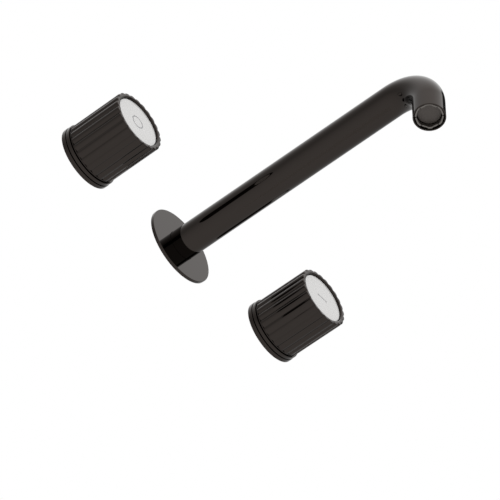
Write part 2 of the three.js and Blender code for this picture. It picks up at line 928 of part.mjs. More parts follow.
function clampingScrew() {
  const tip = spindleFront - handleScrew.engagement;
  const headFront = screwHeadRear + handleScrew.headThickness;
  const body = turned(
    [
      [0, tip],
      [handleScrew.shankRadius, tip],
      [handleScrew.shankRadius, screwHeadRear],
      [handleScrew.headRadius, screwHeadRear],
      [handleScrew.headRadius, headFront],
      [0, headFront],
    ],
    coarse,
  );
  const key = hexagon(handleScrew.keyAcrossFlats);
  const socket = extruded(key, headFront - handleScrew.keyDepth, headFront + 1);
  return combined({ join: [body], cut: [socket] });
}

function lockWasher() {
  const front = lockWasherRear + handleScrew.washerThickness;
  return ring(spindleScrewHole, handleScrew.headRadius, lockWasherRear, front);
}

const indexGrooveRoot = indexDiscRadius - indexDisc.grooveDepth;
const indexGrooveRear = indexDiscRear + indexDisc.grooveFromBack;
const indexGrooveFront = indexGrooveRear + 2 * (indexDisc.oRingSection + gap);

// The mark is a shallow groove in the face: a ring on the hot side and a level bar on the cold.
function markGroove(side) {
  const back = indexDiscFront - indexDisc.markDepth;
  const half = indexDisc.markWidth / 2;
  if (side === "hot") {
    const radius = indexDisc.ringMarkRadius;
    return ring(radius - half, radius + half, back, indexDiscFront + 1, coarse);
  }
  const box = new THREE.BoxGeometry(indexDisc.barMarkLength, 2 * indexDisc.markDepth, 2 * half);
  return box.translate(0, -indexDiscFront, 0);
}

function porcelainDisc(side) {
  const { edge } = indexDisc;
  const hollowRadius = indexDiscRadius - indexDisc.hollowMargin;
  const hollowFront = indexDiscRear + indexDisc.hollowDepth;
  const body = turned(
    [
      [0, hollowFront],
      [hollowRadius, hollowFront],
      [hollowRadius, indexDiscRear],
      [indexDiscRadius, indexDiscRear],
      [indexDiscRadius, indexGrooveRear],
      [indexGrooveRoot, indexGrooveRear],
      [indexGrooveRoot, indexGrooveFront],
      [indexDiscRadius, indexGrooveFront],
      [indexDiscRadius, indexDiscFront - edge],
      [indexDiscRadius - edge, indexDiscFront],
      [0, indexDiscFront],
    ],
    fine,
  );
  return combined({ join: [body], cut: [markGroove(side)] });
}

function indexORing() {
  const section = indexDisc.oRingSection;
  const middle = indexGrooveRoot + gap + section;
  return oRing(middle, section, (indexGrooveRear + indexGrooveFront) / 2, medium);
}

function turningPieces(group, side, opens) {
  place(group, `${side}_spindle`, valveSpindle(opens), brass);
  spindle.oRingsAt.forEach((out, i) => {
    place(group, `${side}_spindle_o_ring_${i + 1}`, spindleORing(out), rubber);
  });
  place(group, `${side}_turning_disc`, turningDisc(), whiteCeramic);
  place(group, `${side}_circlip`, circlip(), steel);
  place(group, `${side}_spline_insert`, splineInsert(), greyPlastic);
  place(group, `${side}_grip`, reededGrip(), blackChrome);
  place(group, `${side}_handle_screw`, clampingScrew(), steel);
  place(group, `${side}_lock_washer`, lockWasher(), steel);
  place(group, `${side}_index_disc`, porcelainDisc(side), porcelain);
  place(group, `${side}_index_o_ring`, indexORing(), rubber);
}

function handleAssembly(side, x, opens) {
  const group = new THREE.Group();
  fixedPieces(group, side);
  turningPieces(group, side, opens);
  group.position.x = x;
  return group;
}

// ---------------------------------------------------------------- faucet

const faucet = new THREE.Group();
faucet.add(spoutAssembly());
faucet.add(handleAssembly("hot", -handleSpacing / 2, 1));
faucet.add(handleAssembly("cold", handleSpacing / 2, -1));

export default faucet;
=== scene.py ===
import json
import math

import bmesh
import bpy
from mathutils import Matrix, Vector


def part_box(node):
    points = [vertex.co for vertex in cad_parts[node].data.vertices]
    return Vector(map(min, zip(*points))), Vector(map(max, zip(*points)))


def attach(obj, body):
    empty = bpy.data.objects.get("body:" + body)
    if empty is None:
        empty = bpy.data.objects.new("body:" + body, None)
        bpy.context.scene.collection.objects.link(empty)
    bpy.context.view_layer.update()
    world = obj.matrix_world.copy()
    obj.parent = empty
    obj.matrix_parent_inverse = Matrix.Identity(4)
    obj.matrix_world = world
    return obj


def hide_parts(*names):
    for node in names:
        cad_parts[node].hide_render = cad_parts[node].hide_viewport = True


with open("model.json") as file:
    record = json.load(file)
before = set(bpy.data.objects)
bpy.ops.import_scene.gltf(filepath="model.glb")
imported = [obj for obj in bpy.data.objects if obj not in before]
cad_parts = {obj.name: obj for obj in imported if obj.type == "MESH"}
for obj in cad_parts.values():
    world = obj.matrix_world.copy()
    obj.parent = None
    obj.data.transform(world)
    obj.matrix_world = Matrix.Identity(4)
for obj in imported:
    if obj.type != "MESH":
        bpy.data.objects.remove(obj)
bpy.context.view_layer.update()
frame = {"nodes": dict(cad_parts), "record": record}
mm = 0.001
print("frame loaded:", len(frame["nodes"]), "parts")


# Camera: below the spout and to its left, looking up at it through a long lens.
cameraSet = {
    "azimuth": -49.84,
    "elevation": -53.31,
    "distance": 3200 * mm,  # from the middle of the wall plate
    "plateRight": -50.35 * mm,  # where the plate's middle lies in the picture
    "plateUp": 1.9 * mm,
    "lens": 326.7,
    "sensor": 36.0,
}


def placeCamera(values):
    azimuth = math.radians(values["azimuth"])
    elevation = math.radians(values["elevation"])
    back = Vector((
        math.sin(azimuth) * math.cos(elevation),
        -math.cos(azimuth) * math.cos(elevation),
        math.sin(elevation),
    ))
    right = Vector((math.cos(azimuth), math.sin(azimuth), 0))
    up = back.cross(right)
    data = bpy.data.cameras.new("camera")
    data.lens = values["lens"]
    data.sensor_width = values["sensor"]
    data.clip_start, data.clip_end = 0.1, 30
    camera = bpy.data.objects.new("camera", data)
    bpy.context.scene.collection.objects.link(camera)
    place = back * values["distance"] - right * values["plateRight"] - up * values["plateUp"]
    turn = Matrix((right, up, back)).transposed()
    camera.matrix_world = Matrix.Translation(place) @ turn.to_4x4()
    bpy.context.scene.camera = camera


placeCamera(cameraSet)


def linear(hexColour):
    channels = [int(hexColour[i:i + 2], 16) / 255 for i in (1, 3, 5)]
    return [c / 12.92 if c <= 0.04045 else ((c + 0.055) / 1.055) ** 2.4 for c in channels] + [1]


# Adds a node, sets its properties and sockets, and links sockets to other nodes' outputs.
def addNode(tree, kind, settings=None, sockets=None, links=None):
    node = tree.nodes.new(kind)
    for key, value in (settings or {}).items():
        setattr(node, key, value)
    for key, value in (sockets or {}).items():
        node.inputs[key].default_value = value
    for key, output in (links or {}).items():
        tree.links.new(output, node.inputs[key])
    return node


# Studio: a pale room that is darker near the horizon, under one wide soft light overhead and
# a little in front of the wall, with a dark card high on the right. The levels of the room are
# given for heights from -1, straight down, to 1, straight up.
studio = {
    "room": ((-1.0, 0.80), (-0.5, 0.74), (-0.1, 0.60), (0.22, 0.42), (0.5, 0.52), (1.0, 0.72)),
    "overhead": 0.62,
    "overheadTowards": (-0.12, -0.42, 0.9),
    "overheadStart": 0.42,  # cosine from its middle where the overhead light begins
    "cardAzimuth": (54, 64, 108, 118),  # in degrees from straight out of the wall
    "cardHeight": (0.70, 0.75, 0.85, 0.89),
    "cardLevel": 0.03,
    "backdrop": 1.0,
    "floorHeight": -4.0,
    "floorRadius": 1.6,
    "floorColour": "#f4f3f1",
}


# A factor that rises from 0 to 1, stays there, and falls back.
def addWindow(tree, value, limits):
    rise = addNode(
        tree, "ShaderNodeMapRange", {"interpolation_type": "SMOOTHSTEP"},
        {"From Min": limits[0], "From Max": limits[1]}, {"Value": value},
    )
    fall = addNode(
        tree, "ShaderNodeMapRange", {"interpolation_type": "SMOOTHSTEP"},
        {"From Min": limits[3], "From Max": limits[2]}, {"Value": value},
    )
    return addNode(
        tree, "ShaderNodeMath", {"operation": "MULTIPLY"},
        links={0: rise.outputs["Result"], 1: fall.outputs["Result"]},
    ).outputs["Value"]


def lightStudio(values):
    world = bpy.data.worlds.new("studio")
    bpy.context.scene.world = world
    world.use_nodes = True
    tree = world.node_tree
    tree.nodes.clear()
    direction = addNode(tree, "ShaderNodeTexCoord").outputs["Generated"]
    parts = addNode(tree, "ShaderNodeSeparateXYZ", links={"Vector": direction})
    height = addNode(
        tree, "ShaderNodeMapRange", sockets={"From Min": -1.0, "From Max": 1.0},
        links={"Value": parts.outputs["Z"]},
    )
    room = addNode(tree, "ShaderNodeValToRGB", links={"Fac": height.outputs["Result"]})
    room.color_ramp.interpolation = "B_SPLINE"
    for i, (place, level) in enumerate(values["room"]):
        at = (place + 1) / 2
        stop = room.color_ramp.elements[i] if i < 2 else room.color_ramp.elements.new(at)
        stop.position = at
        stop.color = (level, level, level, 1)
    facing = addNode(
        tree, "ShaderNodeVectorMath", {"operation": "DOT_PRODUCT"},
        {1: Vector(values["overheadTowards"]).normalized()}, {0: direction},
    )
    overhead = addNode(
        tree, "ShaderNodeMapRange", {"interpolation_type": "SMOOTHSTEP"},
        {"From Min": values["overheadStart"], "From Max": 1.0, "To Max": values["overhead"]},
        {"Value": facing.outputs["Value"]},
    )
    light = addNode(
        tree, "ShaderNodeMath", {"operation": "ADD"},
        links={0: room.outputs["Color"], 1: overhead.outputs["Result"]},
    )
    outwards = addNode(
        tree, "ShaderNodeMath", {"operation": "MULTIPLY"}, {1: -1.0}, {0: parts.outputs["Y"]},
    )
    azimuth = addNode(
        tree, "ShaderNodeMath", {"operation": "ARCTAN2"},
        links={0: parts.outputs["X"], 1: outwards.outputs["Value"]},
    )
    cardAzimuth = [math.radians(angle) for angle in values["cardAzimuth"]]
    across = addWindow(tree, azimuth.outputs["Value"], cardAzimuth)
    upwards = addWindow(tree, parts.outputs["Z"], values["cardHeight"])
    card = addNode(tree, "ShaderNodeMath", {"operation": "MULTIPLY"}, links={0: across, 1: upwards})
    carded = addNode(
        tree, "ShaderNodeMix", {"data_type": "FLOAT"}, {"B": values["cardLevel"]},
        {"Factor": card.outputs["Value"], "A": light.outputs["Value"]},
    )
    lit = addNode(tree, "ShaderNodeBackground", links={"Color": carded.outputs["Result"]})
    white = addNode(
        tree, "ShaderNodeBackground",
        sockets={"Strength": values["backdrop"], "Color": (1, 1, 1, 1)},
    )
    seen = addNode(tree, "ShaderNodeLightPath")
    mixed = addNode(tree, "ShaderNodeMixShader", links={
        0: seen.outputs["Is Camera Ray"], 1: lit.outputs["Background"],
        2: white.outputs["Background"],
    })
    addNode(tree, "ShaderNodeOutputWorld", links={"Surface": mixed.outputs["Shader"]})
    bpy.context.scene.view_settings.view_transform = "Standard"


def addFloor(values):
    bm = bmesh.new()
    low = Matrix.Translation((0, 0, values["floorHeight"]))
    bmesh.ops.create_circle(
        bm, cap_ends=True, segments=64, radius=values["floorRadius"], matrix=low,
    )
    mesh = bpy.data.meshes.new("floor")
    bm.to_mesh(mesh)
    bm.free()
    floor = bpy.data.objects.new("floor", mesh)
    bpy.context.scene.collection.objects.link(floor)
    paint = bpy.data.materials.new("paleStudioFloor")
    paint.use_nodes = True
    shader = paint.node_tree.nodes["Principled BSDF"]
    shader.inputs["Base Color"].default_value = linear(values["floorColour"])
    shader.inputs["Roughness"].default_value = 0.8
    mesh.materials.append(paint)


lightStudio(studio)
addFloor(studio)
print("camera, light and floor ready")


# ---- materials

def newMaterial(name):
    material = bpy.data.materials.new(name)
    material.use_nodes = True
    tree = material.node_tree
    return material, tree, tree.nodes["Principled BSDF"]


def setShader(shader, **sockets):
    for name, value in sockets.items():
        shader.inputs[name.replace("_", " ")].default_value = value


# Cloudy differences in roughness, and a bump of the same or another size, both on Object
# coordinates and with their sizes given in millimetres.
def addSurface(tree, shader, roughness, cloud, bumpSize, bumpHeight):
    place = addNode(tree, "ShaderNodeTexCoord")
    clouds = addNode(
        tree, "ShaderNodeTexNoise", sockets={"Scale": 1 / (cloud * mm), "Detail": 3.0},
        links={"Vector": place.outputs["Object"]},
    )
    spread = addNode(
        tree, "ShaderNodeMapRange", sockets={
            "From Min": 0.3, "From Max": 0.7, "To Min": roughness[0], "To Max": roughness[1],
        }, links={"Value": clouds.outputs["Fac"]},
    )
    tree.links.new(spread.outputs["Result"], shader.inputs["Roughness"])
    grain = addNode(
        tree, "ShaderNodeTexNoise", sockets={"Scale": 1 / (bumpSize * mm), "Detail": 2.0},
        links={"Vector": place.outputs["Object"]},
    )
    bump = addNode(
        tree, "ShaderNodeBump", sockets={"Strength": 1.0, "Distance": bumpHeight * mm},
        links={"Height": grain.outputs["Fac"]},
    )
    tree.links.new(bump.outputs["Normal"], shader.inputs["Normal"])
    return clouds


# Polished brass under a dark vapour-deposited coat: mirror sharp, nearly black where it is
# faced squarely, and paler towards its edges.
def makeDarkChrome():
    material, tree, shader = newMaterial("polishedDarkChrome")
    setShader(shader, Metallic=1.0, Base_Color=linear("#3d3835"))
    addSurface(tree, shader, roughness=(0.02, 0.05), cloud=30, bumpSize=9, bumpHeight=0.002)
    return material


# Turned and lightly polished metal of the aerator's ring: brighter than the spout.
def makeTurnedRing():
    material, tree, shader = newMaterial("turnedAeratorRing")
    setShader(shader, Metallic=1.0, Base_Color=linear("#75716d"))
    addSurface(tree, shader, roughness=(0.12, 0.22), cloud=3, bumpSize=0.4, bumpHeight=0.002)
    return material


# Fine woven stainless mesh, dull with age: reads as one plain warm grey, with a faint weave.
def makeWovenScreen():
    material, tree, shader = newMaterial("wovenSteelScreen")
    setShader(shader, Base_Color=linear("#504a46"), Metallic=0.35)
    pitch, depth = 0.5 * mm, 0.05 * mm  # of the weave
    place = addNode(tree, "ShaderNodeTexCoord")
    weave = addNode(
        tree, "ShaderNodeTexVoronoi", {"distance": "CHEBYCHEV"},
        {"Scale": 1 / pitch, "Randomness": 0.0}, {"Vector": place.outputs["Object"]},
    )
    spread = addNode(
        tree, "ShaderNodeMapRange", sockets={"To Min": 0.35, "To Max": 0.6},
        links={"Value": weave.outputs["Distance"]},
    )
    tree.links.new(spread.outputs["Result"], shader.inputs["Roughness"])
    bump = addNode(
        tree, "ShaderNodeBump", sockets={"Distance": depth},
        links={"Height": weave.outputs["Distance"]},
    )
    tree.links.new(bump.outputs["Normal"], shader.inputs["Normal"])
    return material


# Glazed porcelain: clean white with a wet gloss, and a glaze that waves a little.
def makePorcelain():
    material, tree, shader = newMaterial("glazedPorcelain")
    setShader(shader, IOR=1.52)
    clouds = addSurface(
        tree, shader, roughness=(0.04, 0.09), cloud=12, bumpSize=7, bumpHeight=0.01,
    )
    tone = addNode(
        tree, "ShaderNodeMix", {"data_type": "RGBA"},
        {"A": linear("#ecebe9"), "B": linear("#f1f0ef")}, {"Factor": clouds.outputs["Fac"]},
    )
    tree.links.new(tone.outputs["Result"], shader.inputs["Base Color"])
    return material


# Grey enamel fired into the mark's groove.
def makeMarkEnamel():
    material, tree, shader = newMaterial("greyMarkEnamel")
    setShader(shader, Base_Color=linear("#a9a9ac"), IOR=1.5)
    addSurface(tree, shader, roughness=(0.12, 0.2), cloud=2, bumpSize=0.6, bumpHeight=0.01)
    return material


# Machined brass: warm yellow with fine turning lines across the light.
def makeBrass():
    material, tree, shader = newMaterial("machinedBrass")
    setShader(shader, Metallic=1.0, Base_Color=linear("#c8a765"))
    addSurface(tree, shader, roughness=(0.18, 0.34), cloud=5, bumpSize=0.35, bumpHeight=0.01)
    return material


# Stainless steel of screws, clips and the woven screen: cool grey and softly bright.
def makeStainless():
    material, tree, shader = newMaterial("stainlessSteel")
    setShader(shader, Metallic=1.0, Base_Color=linear("#b4b6b8"))
    addSurface(tree, shader, roughness=(0.2, 0.35), cloud=2, bumpSize=0.3, bumpHeight=0.006)
    return material


# Moulded nitrile rubber: black and dull, with a fine grain.
def makeRubber():
    material, tree, shader = newMaterial("mouldedRubber")
    setShader(shader, Base_Color=linear("#1d1d1e"), Specular_IOR_Level=0.4)
    addSurface(tree, shader, roughness=(0.5, 0.7), cloud=3, bumpSize=0.25, bumpHeight=0.02)
    return material


# Lapped alumina ceramic of the valve discs: warm white, smooth and slightly satin.
def makeAlumina():
    material, tree, shader = newMaterial("lappedAlumina")
    setShader(shader, Base_Color=linear("#e6e1d6"), IOR=1.7)
    addSurface(tree, shader, roughness=(0.18, 0.28), cloud=2, bumpSize=0.2, bumpHeight=0.004)
    return material


# Acetal plastic of the bushes and the aerator's insert: grey, with a moulded sheen.
def makeAcetal():
    material, tree, shader = newMaterial("mouldedAcetal")
    setShader(shader, Base_Color=linear("#6f6d6a"), IOR=1.48)
    addSurface(tree, shader, roughness=(0.35, 0.5), cloud=3, bumpSize=0.3, bumpHeight=0.01)
    return material


# Closed-cell foam of the wall gaskets: charcoal, dull, with open pores where it is cut.
def makeFoam():
    material, tree, shader = newMaterial("closedCellFoam")
    setShader(shader, Base_Color=linear("#2a2a2b"))
    addSurface(tree, shader, roughness=(0.8, 0.95), cloud=1, bumpSize=0.5, bumpHeight=0.08)
    return material


darkChrome = makeDarkChrome()
turnedRing = makeTurnedRing()
wovenScreen = makeWovenScreen()
porcelain = makePorcelain()
markEnamel = makeMarkEnamel()
brass = makeBrass()
stainless = makeStainless()
rubber = makeRubber()
alumina = makeAlumina()
acetal = makeAcetal()
foam = makeFoam()
print("materials ready")


# ---- shapes: every profile is a list of (radius, out) in millimetres, out being the distance
# from the wall into the room

roundSteps = 96
ringSteps = 128  # of wide rings
sealSteps = 16  # round the section of a seal
roundedAngle = 25  # degrees between faces, above which their edge is rounded
sharpAngle = 35  # degrees between faces, above which their edge is shaded sharp


def loopOf(bm, radius, out):
    place = Matrix.Translation((0, -out * mm, 0)) @ Matrix.Rotation(math.pi / 2, 4, "X")
    made = bmesh.ops.create_circle(
        bm, cap_ends=False, segments=roundSteps, radius=radius * mm, matrix=place,
    )
    return list({edge for vert in made["verts"] for edge in vert.link_edges})


# Extrudes a loop of edges on the spot. It gives back the new loop's vertices and its edges.
def extrudeLoop(bm, loop):
    made = bmesh.ops.extrude_edge_only(bm, edges=loop)["geom"]
    verts = [g for g in made if isinstance(g, bmesh.types.BMVert)]
    edges = [g for g in made if isinstance(g, bmesh.types.BMEdge)]
    return verts, [edge for edge in edges if all(v in verts for v in edge.verts)]


# Spins a profile about the y axis. An open profile ends on the axis or stays open.
def spinProfile(bm, profile, closed=True, steps=roundSteps):
    verts = [bm.verts.new((radius * mm, -out * mm, 0)) for radius, out in profile]
    pairs = list(zip(verts, verts[1:])) + ([(verts[-1], verts[0])] if closed else [])
    edges = [bm.edges.new(pair) for pair in pairs]
    bmesh.ops.spin(
        bm, geom=verts + edges, cent=(0, 0, 0), axis=(0, 1, 0), dvec=(0, 0, 0),
        angle=2 * math.pi, steps=steps, use_merge=True, use_duplicate=False,
    )
    bmesh.ops.remove_doubles(bm, verts=bm.verts, dist=0.0005 * mm)


# Rounds the edges of turned shapes, and those along the axis too where this is asked for.
def roundEdges(bm, radius, segments, alongToo=False):
    sharp = []
    for edge in bm.edges:
        if len(edge.link_faces) != 2:
            continue
        run = (edge.verts[0].co - edge.verts[1].co).normalized()
        wanted = alongToo or abs(run.y) < 0.5
        if wanted and edge.calc_face_angle(0) > math.radians(roundedAngle):
            sharp.append(edge)
    bmesh.ops.bevel(
        bm, geom=sharp, offset=radius * mm, offset_type="OFFSET", affect="EDGES",
        segments=segments, profile=0.5, material=-1, clamp_overlap=True,
    )


def closeUp(bm):
    bmesh.ops.remove_doubles(bm, verts=bm.verts, dist=0.0005 * mm)
    bmesh.ops.recalc_face_normals(bm, faces=bm.faces)


# Turns a bmesh into a piece of the object: its place, body, material and what it
# stands for. Flat faces stay flat next to rounded edges.
def finishPiece(bm, name, material, body, stands, x=0.0):
    bmesh.ops.translate(bm, verts=bm.verts, vec=(x * mm, 0, 0))
    for face in bm.faces:
        face.smooth = True
    for edge in bm.edges:
        edge.smooth = edge.calc_face_angle(0) < math.radians(sharpAngle)
    mesh = bpy.data.meshes.new(name)
    bm.to_mesh(mesh)
    bm.free()
    piece = bpy.data.objects.new(name, mesh)
    bpy.context.scene.collection.objects.link(piece)
    mesh.materials.append(material)
    weighted = piece.modifiers.new("flatFaces", "WEIGHTED_NORMAL")
    weighted.keep_sharp = True
    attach(piece, body)
    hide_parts(*stands)
    return piece


root = "spout_and_fixings"
handleBodies = {"hot": "hot_handle", "cold": "cold_handle"}
handleX = {side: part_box(f"{side}_grip") for side in handleBodies}
handleX = {side: (low.x + high.x) / 2 / mm for side, (low, high) in handleX.items()}


# ---- spout

tubeLow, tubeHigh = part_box("spout_tube")
spout = {
    "radius": (tubeHigh.x - tubeLow.x) / 2 / mm,
    "rear": -tubeHigh.y / mm,
    "drop": -tubeLow.z / mm,
    "bendRadius": 31.0,
    "bore": 9.0,
    "rearSocket": 10.0,
    "rearSocketFront": 16.4,
    "outletSocket": 10.5,
    "outletSocketHeight": 13.3,
    "bendSteps": 44,
    "rim": 0.35,
}
spout["reach"] = -tubeLow.y / mm - spout["radius"]


# A shell along the spout's line, from a loop facing the wall down to a loop at a height above
# the outlet's rim. It gives back both end loops.
def sweepShell(bm, radius, rear, above):
    loop = loopOf(bm, radius, rear)
    start = list(loop)
    bendStart = spout["reach"] - spout["bendRadius"]
    verts, loop = extrudeLoop(bm, loop)
    bmesh.ops.translate(bm, verts=verts, vec=(0, (rear - bendStart) * mm, 0))
    made = bmesh.ops.spin(
        bm, geom=loop + verts, cent=(0, -bendStart * mm, -spout["bendRadius"] * mm),
        axis=(1, 0, 0), dvec=(0, 0, 0), angle=math.pi / 2, steps=spout["bendSteps"],
        use_merge=False, use_duplicate=False,
    )["geom_last"]
    verts, end = extrudeLoop(bm, [g for g in made if isinstance(g, bmesh.types.BMEdge)])
    down = spout["drop"] - above - spout["bendRadius"]
    bmesh.ops.translate(bm, verts=verts, vec=(0, 0, -down * mm))
    return start, end


# Grows a loop into a further ring of faces: scaled about its own middle and moved along.
def growLoop(bm, loop, scale, move):
    verts, edges = extrudeLoop(bm, loop)
    middle = sum((v.co for v in verts), Vector()) / len(verts)
    bmesh.ops.scale(bm, verts=verts, vec=(scale,) * 3, space=Matrix.Translation(-middle))
    bmesh.ops.translate(bm, verts=verts, vec=move)
    return edges


def buildSpout():
    bm = bmesh.new()
    outerRear, outerEnd = sweepShell(bm, spout["radius"], spout["rear"], 0)
    sweepShell(bm, spout["bore"], spout["rearSocketFront"], spout["outletSocketHeight"])
    deep = (spout["rearSocketFront"] - spout["rear"]) * mm
    step = growLoop(bm, outerRear, spout["rearSocket"] / spout["radius"], (0, 0, 0))
    step = growLoop(bm, step, 1, (0, -deep, 0))
    growLoop(bm, step, spout["bore"] / spout["rearSocket"], (0, 0, 0))
    high = spout["outletSocketHeight"] * mm
    step = growLoop(bm, outerEnd, spout["outletSocket"] / spout["radius"], (0, 0, 0))
    step = growLoop(bm, step, 1, (0, 0, high))
    growLoop(bm, step, spout["bore"] / spout["outletSocket"], (0, 0, 0))
    bmesh.ops.remove_doubles(bm, verts=bm.verts, dist=0.01 * mm)
    closeUp(bm)
    roundEdges(bm, spout["rim"], 4, alongToo=True)
    finishPiece(bm, "spout", darkChrome, root, ["spout_tube"])


buildSpout()

plateLow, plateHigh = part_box("spout_plate")
plate = {
    "radius": (plateHigh.x - plateLow.x) / 2 / mm,
    "thickness": -plateLow.y / mm,
    "bore": spout["radius"] + 0.05,
    "hub": 15.0,
    "rim": 28.1,
    "recess": 1.2,
    "edge": 0.3,
    "steps": 160,
}


def buildPlate():
    bm = bmesh.new()
    spinProfile(bm, [
        (plate["bore"], 0), (plate["hub"], 0), (plate["hub"], plate["recess"]),
        (plate["rim"], plate["recess"]), (plate["rim"], 0), (plate["radius"], 0),
        (plate["radius"], plate["thickness"]), (plate["bore"], plate["thickness"]),
    ], steps=plate["steps"])
    closeUp(bm)
    roundEdges(bm, plate["edge"], 4)
    finishPiece(bm, "wallPlate", darkChrome, root, ["spout_plate"])


buildPlate()
outletRim = -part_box("spout_tube")[0].z / mm
aerator = {
    "radius": 10.2,
    "opening": 8.5,
    "rim": 0.5,  # above the outlet's rim, as all its heights
    "top": 9.5,
    "seat": 7.2,
    "seatBottom": 8.0,
    "lip": 0.65,
    "lobes": 7,
    "lobeSteps": 20,
    "lobeTurn": 16.0,
    "notchDepth": 0.9,
    "notchWave": (0.6, 0.9),  # middle and height of the wave that cuts the notches
    "screen": 8.2,
    "screenBottom": 4.4,
    "screenTop": 5.0,
    "screenEdge": 0.15,
    "screenSteps": 64,
}


# Turns pieces that were made round the y axis so that they face down out of the outlet.
def intoOutlet(bm):
    down = Matrix.Rotation(-math.pi / 2, 3, "X")
    bmesh.ops.rotate(bm, verts=bm.verts, cent=(0, 0, 0), matrix=down)
    bmesh.ops.translate(bm, verts=bm.verts, vec=(0, -spout["reach"] * mm, -outletRim * mm))


# How far a vertex lies in a notch between the lobes of the ring's rim: 0 on a lobe, 1 inside.
def notchShare(vert):
    turn = math.atan2(vert.co.z, vert.co.x) + math.radians(aerator["lobeTurn"])
    middle, height = aerator["notchWave"]
    return min(max(middle - height * math.cos(aerator["lobes"] * turn), 0), 1)


def buildAerator():
    a = aerator
    bm = bmesh.new()
    spinProfile(bm, [
        (a["opening"], a["rim"]), (a["radius"], a["rim"]), (a["radius"], a["top"]),
        (a["seat"], a["top"]), (a["seat"], a["seatBottom"]), (a["opening"], a["seatBottom"]),
    ], steps=a["lobes"] * a["lobeSteps"])
    closeUp(bm)
    roundEdges(bm, a["lip"], 4)
    for vert in bm.verts:
        if -vert.co.y < (a["rim"] + 2 * a["lip"]) * mm:
            vert.co.y -= a["notchDepth"] * notchShare(vert) * mm
    intoOutlet(bm)
    finishPiece(bm, "aeratorRing", turnedRing, root, ["aerator_housing"])
    bm = bmesh.new()
    spinProfile(bm, [
        (0, a["screenBottom"]), (a["screen"], a["screenBottom"]), (a["screen"], a["screenTop"]),
        (0, a["screenTop"]),
    ], closed=False, steps=a["screenSteps"])
    closeUp(bm)
    roundEdges(bm, a["screenEdge"], 2)
    intoOutlet(bm)
    finishPiece(bm, "aeratorScreen", wovenScreen, root, ["aerator_screen"])


buildAerator()
print("spout and wall plate ready")


# ---- rear pieces, which are seen from behind

nipple = {
    "rear": -8.0,
    "collarBack": -1.2,
    "collarFront": 0.6,
    "front": 14.1,
    "wallThread": 10.4,
    "collar": 11.2,
    "spoutThread": 8.2,
    "lead": 0.8,
    "threadDepth": 0.55,
    "pitch": 1.34,
    "mouth": 6.2,
    "keyCorner": 5.8,
    "keyChamfer": 0.4,
    "edge": 0.08,
    "crestShare": 0.15,  # of the pitch, on each side of a crest's middle
}


# Turned ridges of a thread between two places along the axis, in the order of the profile.
def threadPoints(radius, start, end):
    count = round((end - start) / nipple["pitch"])
    pitch = (end - start) / count
    points = []
    for i in range(count):
        low, high = start + i * pitch, start + (i + 1) * pitch
        crest = nipple["crestShare"] * pitch
        points += [
            (radius, low), (radius, low + crest),
            (radius - nipple["threadDepth"], (low + high) / 2), (radius, high - crest),
        ]
    return points + [(radius, end)]


# Moves a loop's copy along the axis, onto a circle or onto a hexagon when a corner is given.
def growKey(bm, loop, out, radius=None, corner=None):
    verts, edges = extrudeLoop(bm, loop)
    for vert in verts:
        turn = math.atan2(vert.co.z, vert.co.x)
        reach = radius
        if corner:
            side = turn % (math.pi / 3) - math.pi / 6
            reach = corner * math.cos(math.pi / 6) / math.cos(side)
        vert.co = Vector((reach * math.cos(turn), -out, reach * math.sin(turn))) * mm
    return edges


def buildNipple():
    bm = bmesh.new()
    n = nipple
    profile = [(n["mouth"], n["rear"]), (n["wallThread"] - n["lead"], n["rear"])]
    profile += threadPoints(n["wallThread"], n["rear"] + n["lead"], n["collarBack"])
    profile += [(n["collar"], n["collarBack"]), (n["collar"], n["collarFront"])]
    profile += threadPoints(n["spoutThread"], n["collarFront"], n["front"] - n["lead"])
    profile += [(n["spoutThread"] - n["lead"], n["front"]), (n["mouth"], n["front"])]
    spinProfile(bm, profile, closed=False)
    rear = [e for e in bm.edges if e.is_boundary and e.verts[0].co.y > 0]
    loop = growKey(bm, rear, n["rear"] + n["keyChamfer"], corner=n["keyCorner"])
    loop = growKey(bm, loop, n["front"] - n["keyChamfer"], corner=n["keyCorner"])
    growKey(bm, loop, n["front"], radius=n["mouth"])
    closeUp(bm)
    roundEdges(bm, n["edge"], 2)
    finishPiece(bm, "spoutNipple", brass, root, ["spout_nipple"])


housing = {
    "rear": -4.4,
    "floorFront": -1.4,
    "inlet": 4.4,
    "slots": 4,
    "slotAngle": 56.0,
    "slotInner": 8.4,
    "slotOuter": 10.3,
    "bore": 10.7,
    "spigot": 12.6,
    "grooveRoot": 11.4,
    "grooveRear": -3.4,
    "grooveFront": -1.7,
    "recess": 15.2,
    "recessFront": 1.0,
    "flange": 20.5,
    "flangeThickness": 3.5,
    "barrel": 14.2,
    "barrelFront": 17.0,
    "edge": 0.15,
    "overlap": 0.3,  # of the spokes with the barrel and the hub
    "setIn": 0.1,  # of the spokes' faces, behind those of the floor
    "spokeSteps": 12,
}


# Part of a ring of rectangular section, closed at both of its ends.
def spinSpoke(bm, inner, outer, rear, front, start, angle, steps):
    corners = [(inner, rear), (outer, rear), (outer, front), (inner, front)]
    verts = [bm.verts.new((radius * mm, -out * mm, 0)) for radius, out in corners]
    face = bm.faces.new(verts)
    bmesh.ops.rotate(bm, verts=verts, cent=(0, 0, 0), matrix=Matrix.Rotation(start, 3, "Y"))
    bmesh.ops.spin(
        bm, geom=verts + face.edges[:] + [face], cent=(0, 0, 0), axis=(0, 1, 0), dvec=(0, 0, 0),
        angle=angle, steps=steps, use_merge=False, use_duplicate=False,
    )


